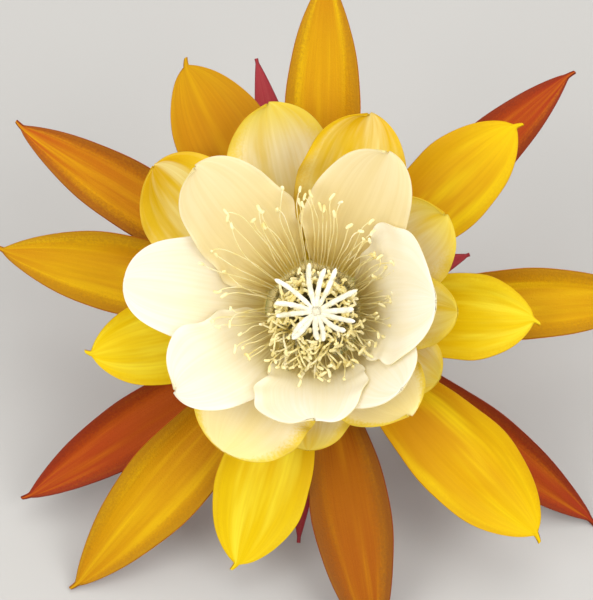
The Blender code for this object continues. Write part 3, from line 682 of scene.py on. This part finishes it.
# The bent funnel: rings square to the centre line, out along the bore, over the lip and back outside.
# Low ridges, a cosine that winds slowly round, rise on its outside past the funnel.
def buildTube(material):
    around = tube["around"]
    inside = np.linspace(tube["boreEnd"], 0.5, tube["along"] // 2)
    outside = np.linspace(0.5, tube["length"], tube["along"])
    inner, outer = boreRadius(inside), smoothRadius(outside)
    closing = np.clip((tube["length"] - outside) / tube["endRound"], 0.0, 1.0)
    outer = outer * (0.82 + 0.18 * np.sqrt(closing))
    edge, lip = tube["lipEdge"], tube["lipRound"]
    back = np.concatenate([[tube["boreEnd"]], inside, [edge, 0.0, 0.0, edge], outside, [tube["length"]]])
    lipRadii = [inner[-1] + edge, inner[-1] + lip, outer[0] - lip, outer[0] - edge]
    radius = np.concatenate([[0.02], inner, lipRadii, outer, [0.02]])
    isOutside = np.concatenate([np.zeros(len(inside) + 3), np.ones(len(outside) + 3)])

    angle = np.linspace(0, 2 * np.pi, around, endpoint=False)
    centre, bend = centreLine(back)
    spiral = np.cos(tube["ridges"] * (angle[None, :] + back[:, None] * tube["ridgeTwist"]))
    growing = np.clip((back[:, None] - tube["ridgeStart"]) / tube["ridgeEase"], 0, 1)
    ridge = tube["ridgeHeight"] * spiral * isOutside[:, None] * growing
    reach = np.maximum(0.02, radius[:, None] + np.where(radius[:, None] > 1, ridge, 0.0))
    up = np.stack([np.zeros_like(bend), np.cos(bend), np.sin(bend)], axis=-1)
    right = np.array([1.0, 0.0, 0.0])
    outward = np.cos(angle)[None, :, None] * right + np.sin(angle)[None, :, None] * up[:, None, :]
    points = centre[:, None, :] + reach[..., None] * outward

    scalePoints, scaleQuads = scaleMesh()
    skin = (toWorldOnSurface(points.reshape(-1, 3)), ringFaces(len(back), around))
    world, quads = joinMeshes(skin, (toWorld(scalePoints), scaleQuads))
    lining = np.concatenate([1 - np.repeat(isOutside, around), np.zeros(len(scalePoints))])
    return buildMesh("floralTubeSkin", world, quads, material, back=lining)


tubeScales = {
    "count": 11, "length": 9.0, "shrink": 0.45, "first": 30, "stretch": 47, "crowding": 0.9, "turn": 137.5,
    "width": 0.34, "thick": 0.55, "sunk": 0.6, "rows": 14, "columns": 9,
}


# Small pointed scales on the tube, each a narrow closed blade with its foot sunk in the skin.
# They wind round it by the golden angle, and their width closes as the root of what is left to the tip.
def scaleMesh():
    rows, columns = tubeScales["rows"], tubeScales["columns"]
    t, s = np.meshgrid(np.linspace(0, 1, rows), np.linspace(-1, 1, columns), indexing="ij")
    made = []
    for i in range(tubeScales["count"]):
        share = i / (tubeScales["count"] - 1)
        back = tubeScales["first"] + tubeScales["stretch"] * share ** tubeScales["crowding"]
        length = tubeScales["length"] * (1 - tubeScales["shrink"] * i / tubeScales["count"])
        centre, bend = centreLine(back)
        ahead, _ = centreLine(back - 1)
        forward = unit(ahead - centre)
        up = np.array([0.0, math.cos(bend), math.sin(bend)])
        turn = math.radians(i * tubeScales["turn"])
        outward = np.array([1.0, 0, 0]) * math.cos(turn) + up * math.sin(turn)
        sideways = np.cross(forward, outward)
        belly = 0.75 + 0.25 * np.sin(np.pi * t)
        half = tubeScales["width"] * length * np.sqrt(np.clip(1 - t, 0, 1)) * belly + 0.05
        rise = -tubeScales["sunk"] + length * (0.20 * t + 0.14 * t ** 2) - 0.10 * length * s ** 2 * (1 - t)
        middle = (centre + forward * (length * (0.95 * t - 0.15))[..., None]
                  + outward * (outerRadius(back) + rise)[..., None] + sideways * (half * s)[..., None])
        thick = (tubeScales["thick"] * (1 - 0.7 * t) * (1 - 0.6 * s ** 4))[..., None]
        sides = [(middle + outward * thick).reshape(-1, 3), (middle - outward * thick).reshape(-1, 3)]
        made.append((np.concatenate(sides), bladeFaces(rows, columns)))
    return joinMeshes(*made)


# Stamens

# The loose ring along the cup: its anthers' distance from the axis in each direction, and how they rise.
ringStamens = {
    "count": 84, "filament": 0.14, "rootDepth": 2.5, "from": -134, "span": 358, "crowding": 22,
    "reach": ((-135, 18.5), (-90, 18.5), (-45, 17.5), (0, 19.5), (45, 24.5), (90, 29.5), (130, 33.0),
              (180, 26.5), (225, 20.5)),
    "height": 9, "rise": 0.80,
}
# The dense tuft round the style: it droops towards lowSide, the azimuth of the lowest filaments.
tuftStamens = {
    "count": 170, "filament": 0.25, "rootDepth": 5.5, "nearest": 2.6, "spread": 7.9, "lowSide": 262,
    "lowSpread": 7.5, "height": 29.0, "droop": 6.5, "lowDroop": 9.0, "archRise": 10.0,
}
stamens = {"seed": 7, "steps": 18, "sides": 6, "anther": 0.42, "antherLength": 2.3, "antherSides": 8}
collar = {"top": -0.6, "bottom": -7.0, "wall": 1.2, "gap": 0.75, "around": 72}


# Points at a distance from the axis, an azimuth in degrees and a height over the rim.
def polar(radius, azimuth, height):
    turn = np.radians(azimuth)
    return np.stack([radius * np.cos(turn), radius * np.sin(turn), height + 0 * turn], axis=-1)


# Bezier paths, many at once: (paths, steps, 3).
def curvePaths(p0, p1, p2, p3):
    t = np.linspace(0, 1, stamens["steps"])[None, :, None]
    return bezier(p0[:, None], p1[:, None], p2[:, None], p3[:, None], t)


# The middle of the collar's wall at this depth, where the filaments have their roots.
def filamentRoot(depth):
    return boreRadius(depth) - collar["gap"] - collar["wall"] / 2


# The ring's filaments: spread round the axis, closest at its upper right, and leaning out against the cup.
def ringPaths(rng):
    ring = ringStamens
    count = ring["count"]
    even = (np.arange(count) + rng.uniform(-0.45, 0.45, count)) / count
    azimuth = ring["from"] + ring["span"] * even
    azimuth = azimuth + ring["crowding"] * np.sin(2 * np.pi * even) * np.clip(even, 0, 1)
    places, reaches = zip(*ring["reach"])
    reach = np.interp(azimuth, places, reaches) * rng.uniform(0.78, 1.04, count)
    height = ring["height"] + ring["rise"] * reach + rng.uniform(0, 2.2, count)
    rootRadius = filamentRoot(ring["rootDepth"])
    root = polar(np.full(count, rootRadius), azimuth, -ring["rootDepth"])
    low = polar(rootRadius + 0.25 * (reach - rootRadius), azimuth, height * 0.42)
    highAzimuth = azimuth + rng.uniform(-6, 6, count)
    high = polar(rootRadius + 0.72 * (reach - rootRadius), highAzimuth, height * 0.88)
    tip = polar(reach * 0.97, azimuth + rng.uniform(-8, 8, count), height)
    return curvePaths(root, low, high, tip)


# The tuft's filaments: they stand up round the style and arch over, further out on the low side.
def tuftPaths(rng):
    tuft = tuftStamens
    count = tuft["count"]
    azimuth = 360 * (np.arange(count) + rng.uniform(-0.4, 0.4, count)) / count
    share = (np.arange(count) * 0.618) % 1
    lowSide = np.maximum(0.0, np.cos(np.radians(azimuth - tuft["lowSide"]))) ** 0.7
    reach = tuft["nearest"] + tuft["spread"] * np.sqrt(share) + tuft["lowSpread"] * lowSide * share
    reach = reach + rng.uniform(-0.8, 0.8, count)
    height = tuft["height"] - tuft["droop"] * share - tuft["lowDroop"] * lowSide * share
    height = height + rng.uniform(-1.4, 1.4, count)
    rootRadius = filamentRoot(tuft["rootDepth"])
    root = polar(np.full(count, rootRadius), azimuth, -tuft["rootDepth"])
    low = polar(np.full(count, rootRadius - 0.3), azimuth, height * 0.35)
    highAzimuth = azimuth + rng.uniform(-20, 20, count)
    high = polar(reach * 0.5 + 3.0, highAzimuth, height + 1 + tuft["archRise"] * lowSide * share)
    tip = polar(reach, azimuth + rng.uniform(-22, 22, count), height)
    return curvePaths(root, low, high, tip)


# Each path with two bends of its own: one and two sine waves along it, growing towards the tip.
def bentPaths(rng, paths):
    count, steps = paths.shape[:2]
    t = np.linspace(0, 1, steps)[None, :, None]
    wobble = rng.normal(size=(count, 1, 3)) * 0.35
    second = rng.normal(size=(count, 1, 3)) * 0.25
    return paths + wobble * np.sin(2 * np.pi * t) * t + second * np.sin(4 * np.pi * t) * t


# Anthers: a bean for each filament, bent across its end, with a fourth-power roundness at both tips.
def antherBeans(rng, paths):
    count = len(paths)
    head = unit(paths[:, -1] - paths[:, -2])
    cross = unit(np.cross(head, rng.normal(size=(count, 3))))
    mix = rng.uniform(0.1, 0.9, count)[:, None]
    axis = unit(cross * (1 - mix) + head * mix)
    t = np.linspace(-1, 1, 9)[None, :, None]
    curl = rng.uniform(0.3, 1.1, count)[:, None, None]
    length = stamens["antherLength"] * rng.uniform(0.7, 1.15, count)[:, None, None]
    side = np.cross(axis, head)[:, None]
    beans = paths[:, -1][:, None] + axis[:, None] * t * length / 2 + side * curl * 0.45 * (t ** 2)
    plump = rng.uniform(0.8, 1.1, count)[:, None]
    fat = stamens["anther"] * np.sqrt(np.clip(1 - (t[..., 0] * 0.98) ** 4, 0.02, 1)) * plump
    return tubesAlong(beans, fat, stamens["antherSides"])


# The collar that lines the throat and carries the filaments: its cross-section turned round the axis.
def collarMesh():
    heights = np.linspace(collar["top"], collar["bottom"], 8)
    outer = boreRadius(-heights) - collar["gap"]
    radii = np.concatenate([outer, (outer - collar["wall"])[::-1]])
    levels = np.concatenate([heights, heights[::-1]])
    around = collar["around"]
    angle = np.linspace(0, 2 * np.pi, around, endpoint=False)
    band = np.stack([radii[:, None] * np.cos(angle), radii[:, None] * np.sin(angle),
                     levels[:, None] + 0 * angle], axis=-1)
    r, c = np.meshgrid(np.arange(len(radii)), np.arange(around), indexing="ij")
    nextR, nextC = (r + 1) % len(radii), (c + 1) % around
    quads = np.stack([r * around + c, nextR * around + c, nextR * around + nextC, r * around + nextC],
                     axis=-1).reshape(-1, 4)
    return band.reshape(-1, 3), quads


# Filaments as thin tubes on bent paths, each with an anther across its end, and the collar they grow from.
def buildStamens(material):
    rng = np.random.default_rng(stamens["seed"])
    ring, tuft = ringPaths(rng), tuftPaths(rng)
    paths = bentPaths(rng, np.concatenate([ring, tuft]))
    radii = np.repeat([ringStamens["filament"], tuftStamens["filament"]], [len(ring), len(tuft)])
    radii = np.tile(radii[:, None], (1, paths.shape[1]))
    radii[:, 0] *= 1.2
    radii[:, -1] *= 0.8
    filaments = tubesAlong(paths, radii, stamens["sides"])
    points, quads = joinMeshes(filaments, antherBeans(rng, paths), collarMesh())
    return buildMesh("stamenTuft", toWorld(points), quads, material)


# Pistil

pistil = {
    "seed": 3, "style": 1.1, "styleSides": 20, "footGap": 0.4, "height": 33.0, "lobes": 14, "firstLobe": 8,
    "lobeLength": 11.8, "lobe": 0.62, "lobeSteps": 26, "lobeSides": 14, "leastLean": 14, "lowLean": 42,
    "upwardBend": 10, "knob": 0.07, "knobs": 26,
}


# The style: a rod up the tube's centre line, and over the rim to a head that swells and closes.
def styleMesh():
    below, _ = centreLine(np.linspace(tube["boreEnd"] - pistil["footGap"], 0, 40))
    top = pistil["height"]
    heights = np.array([6, 14, 22, top - 4, top - 2.4, top - 1.4, top - 0.6, top - 0.4])
    above = np.stack([0 * heights, 0 * heights, heights], axis=-1)
    path = np.concatenate([below, above])
    radius = np.full(len(path), pistil["style"])
    radius[-5:] = (1.15, 1.3, 1.6, 1.6, 1.1)
    return tubesAlong(path[None], radius[None], pistil["styleSides"])


# The lobes: bent fingers that spread from the style's head and rise more on the low side.
# Each step along a lobe turns by its angle, and small knobs run along it as a sine.
def lobeMesh():
    rng = np.random.default_rng(pistil["seed"])
    count, steps = pistil["lobes"], pistil["lobeSteps"]
    azimuth = 360 * np.arange(count) / count + pistil["firstLobe"] + rng.uniform(-6, 6, count)
    lowSide = 0.5 - 0.5 * np.sin(np.radians(azimuth))
    lean = np.radians(pistil["leastLean"] + pistil["lowLean"] * lowSide + rng.uniform(-4, 4, count))
    length = pistil["lobeLength"] * rng.uniform(0.82, 1.02, count)
    t = np.linspace(0, 1, steps)
    bend = np.radians(pistil["upwardBend"]) * (t[None, :] - 0.3)
    angle = lean[:, None] + bend + rng.uniform(-0.12, 0.12, count)[:, None] * t
    sway = np.radians(azimuth)[:, None] + rng.uniform(-0.22, 0.22, count)[:, None] * t[None, :] ** 2
    step = (length / (steps - 1))[:, None]
    flat = 1.0 + np.cumsum(np.cos(angle) * step, axis=1)
    rise = pistil["height"] + 0.1 + np.cumsum(np.sin(angle) * step, axis=1)
    lobes = np.stack([flat * np.cos(sway), flat * np.sin(sway), rise], axis=-1)
    shape = 0.85 + 0.25 * np.sin(np.pi * t) + 0.05 * np.sin(9 * t)
    shape[-3:] = (0.95, 0.75, 0.3)
    knobPlace = pistil["knobs"] * t[None, :] + rng.uniform(0, 6, count)[:, None]
    knobs = 1 + pistil["knob"] * np.sin(knobPlace)
    radii = pistil["lobe"] * shape[None, :] * knobs * rng.uniform(0.9, 1.08, count)[:, None]
    return tubesAlong(lobes, radii, pistil["lobeSides"])


def buildPistil(material):
    points, quads = joinMeshes(styleMesh(), lobeMesh())
    return buildMesh("stigmaStar", toWorld(points), quads, material)


# Looks of the round parts: moist green-brown flesh, cream filaments that let light through, white lobes.
plantLooks = {
    "floralTubeFlesh": {
        "dark": "#7E8A3A", "body": "#A5A24A", "light": "#B98A4A", "lining": "#E9D894", "mottleScale": 60.0,
        "cellScale": 1800.0, "relief": 0.35, "roughness": 0.42, "shine": 0.4, "glow": 0.05,
    },
    "stamenCream": {
        "dark": "#F8EEB4", "body": "#FDF7D2", "light": "#FFFBE8", "lining": "#F9F1C6", "mottleScale": 220.0,
        "cellScale": 4000.0, "relief": 0.3, "roughness": 0.6, "shine": 0.4, "glow": 0.62,
    },
    "stigmaWhite": {
        "dark": "#E2DABA", "body": "#F2ECD6", "light": "#FAF7EC", "lining": "#FBF8EC", "mottleScale": 300.0,
        "cellScale": 3000.0, "relief": 1.0, "roughness": 0.6, "shine": 0.4, "glow": 0.15,
    },
}


# Soft plant tissue seen all round: mottled colour, fine cell bump, and a little light let through.
# Its lining colour shows where the mesh is marked as a lining. Both scales count cells to the metre.
def plantMaterial(name, look):
    material, tree = emptyMaterial(name)
    solidPlace = addNode(tree, "ShaderNodeTexCoord").outputs["Object"]
    mottle = addNode(tree, "ShaderNodeTexNoise", values={"Scale": look["mottleScale"], "Detail": 4.0},
                     links={"Vector": solidPlace})
    stops = [(0.32, "dark"), (0.52, "body"), (0.7, "light")]
    tone = colorAlong(tree, mottle.outputs["Fac"], [(place, hexColor(look[key])) for place, key in stops])
    lining = addNode(tree, "ShaderNodeAttribute", {"attribute_name": "back"})
    color = mixColor(tree, lining.outputs["Fac"], tone, hexColor(look["lining"]))
    cells = addNode(tree, "ShaderNodeTexNoise", values={"Scale": look["cellScale"], "Detail": 2.0},
                    links={"Vector": solidPlace})
    bump = addNode(tree, "ShaderNodeBump", values={"Strength": look["relief"], "Distance": 0.0003},
                   links={"Height": cells.outputs["Fac"]})
    tissueSurface(tree, look, color, bump.outputs["Normal"], thin=False)
    return material


# Stage, light and camera

# Places and sizes in metres, powers in watts. A light with an angle is a spot, in degrees.
stage = {
    "floorColor": "#B4B2AE", "floorSize": 6.0, "skyStrength": 0.72,
    "lights": (
        {"name": "keyLight", "place": (0.02, 0.20, 1.25), "power": 6.0, "size": 0.9},
        {"name": "leftLight", "place": (-0.85, -0.62, 0.95), "power": 8.7, "size": 0.8},
        {"name": "rightLight", "place": (0.80, -0.62, 0.95), "power": 8.7, "size": 0.8},
        {"name": "throatLight", "place": (0.0, -0.75, 1.12), "power": 42.0, "size": 0.05, "angle": 4.2},
    ),
}


# A light that looks at the target.
def addLight(row, target):
    isSpot = "angle" in row
    light = bpy.data.lights.new(row["name"], "SPOT" if isSpot else "AREA")
    light.energy = row["power"]
    if isSpot:
        light.shadow_soft_size = row["size"]
        light.spot_size = math.radians(row["angle"])
        light.spot_blend = 1.0
    else:
        light.size = row["size"]
    lamp = bpy.data.objects.new(row["name"], light)
    lamp.location = row["place"]
    aim = target - np.array(row["place"])
    lamp.rotation_euler = (math.atan2(math.hypot(aim[0], aim[1]), -aim[2]), 0,
                           math.atan2(aim[1], aim[0]) - math.pi / 2)
    bpy.context.scene.collection.objects.link(lamp)


# A pale floor under one soft light above and one on each side, with a small spot down into the throat.
def buildStage():
    paper = bpy.data.materials.new("matt studio paper")
    paper.use_nodes = True
    shader = paper.node_tree.nodes["Principled BSDF"]
    shader.inputs["Base Color"].default_value = hexColor(stage["floorColor"])
    shader.inputs["Roughness"].default_value = 0.9
    half = stage["floorSize"] / 2
    corners = np.array([[-half, -half, 0], [half, -half, 0], [half, half, 0], [-half, half, 0]])
    buildMesh("paleFloor", corners, np.array([[0, 1, 2, 3]]), paper)
    throat = toWorld(np.zeros((1, 3)))[0]
    for row in stage["lights"]:
        addLight(row, throat)
    world = bpy.data.worlds.new("softSky")
    world.use_nodes = True
    sky = world.node_tree.nodes["Background"]
    sky.inputs["Color"].default_value = (1, 1, 1, 1)
    sky.inputs["Strength"].default_value = stage["skyStrength"]
    bpy.context.scene.world = world
    bpy.context.scene.view_settings.view_transform = "Standard"


# The camera looks down the flower's axis from 600 mm off, set a little aside to frame it as photographed.
view = {"distance": 600.0, "right": -4.8, "up": 2.9, "frameWidth": 154.2, "sensor": 36.0}


def buildCamera():
    data = bpy.data.cameras.new("photoView")
    data.sensor_width = view["sensor"]
    data.lens = view["distance"] / view["frameWidth"] * view["sensor"]
    data.clip_start = 0.01
    camera = bpy.data.objects.new("photoView", data)
    camera.location = toWorld(np.array([view["right"], view["up"], view["distance"]]))
    camera.rotation_euler = (math.radians(90 - pose["faceElevation"]), 0, 0)
    bpy.context.scene.collection.objects.link(camera)
    bpy.context.scene.camera = camera


# Which node of the solids a piece stands for: the piece hangs on the root body and that node's solid is
# hidden.
def dress(piece, node):
    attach(piece, "root")
    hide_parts(node)


buildCamera()
buildStage()
print("camera and stage placed")

materials = {name: petalMaterial(name + "PetalTissue", {**petalSkins[look["skin"]], **look})
             for name, look in petalLooks.items()}
materials.update({name: plantMaterial(name, look) for name, look in plantLooks.items()})
print("materials made:", len(materials))

for kind, rows in tepals.items():
    for number, row in enumerate(rows, start=1):
        leaf = fullTepal(kind, row)
        look = leaf["look"] or kind
        node = f"bract_{number:02d}" if kind == "bract" else f"{kind}_tepal_{number:02d}"
        piece = buildTepal(f"{look}Petal{number:02d}{kind.title()}", leaf, materials[look])
        dress(piece, node)
print("tepals made:", sum(len(rows) for rows in tepals.values()))

dress(buildTube(materials["floralTubeFlesh"]), "floral_tube")
dress(buildStamens(materials["stamenCream"]), "stamens")
dress(buildPistil(materials["stigmaWhite"]), "pistil")
print("tube, stamens and pistil made")
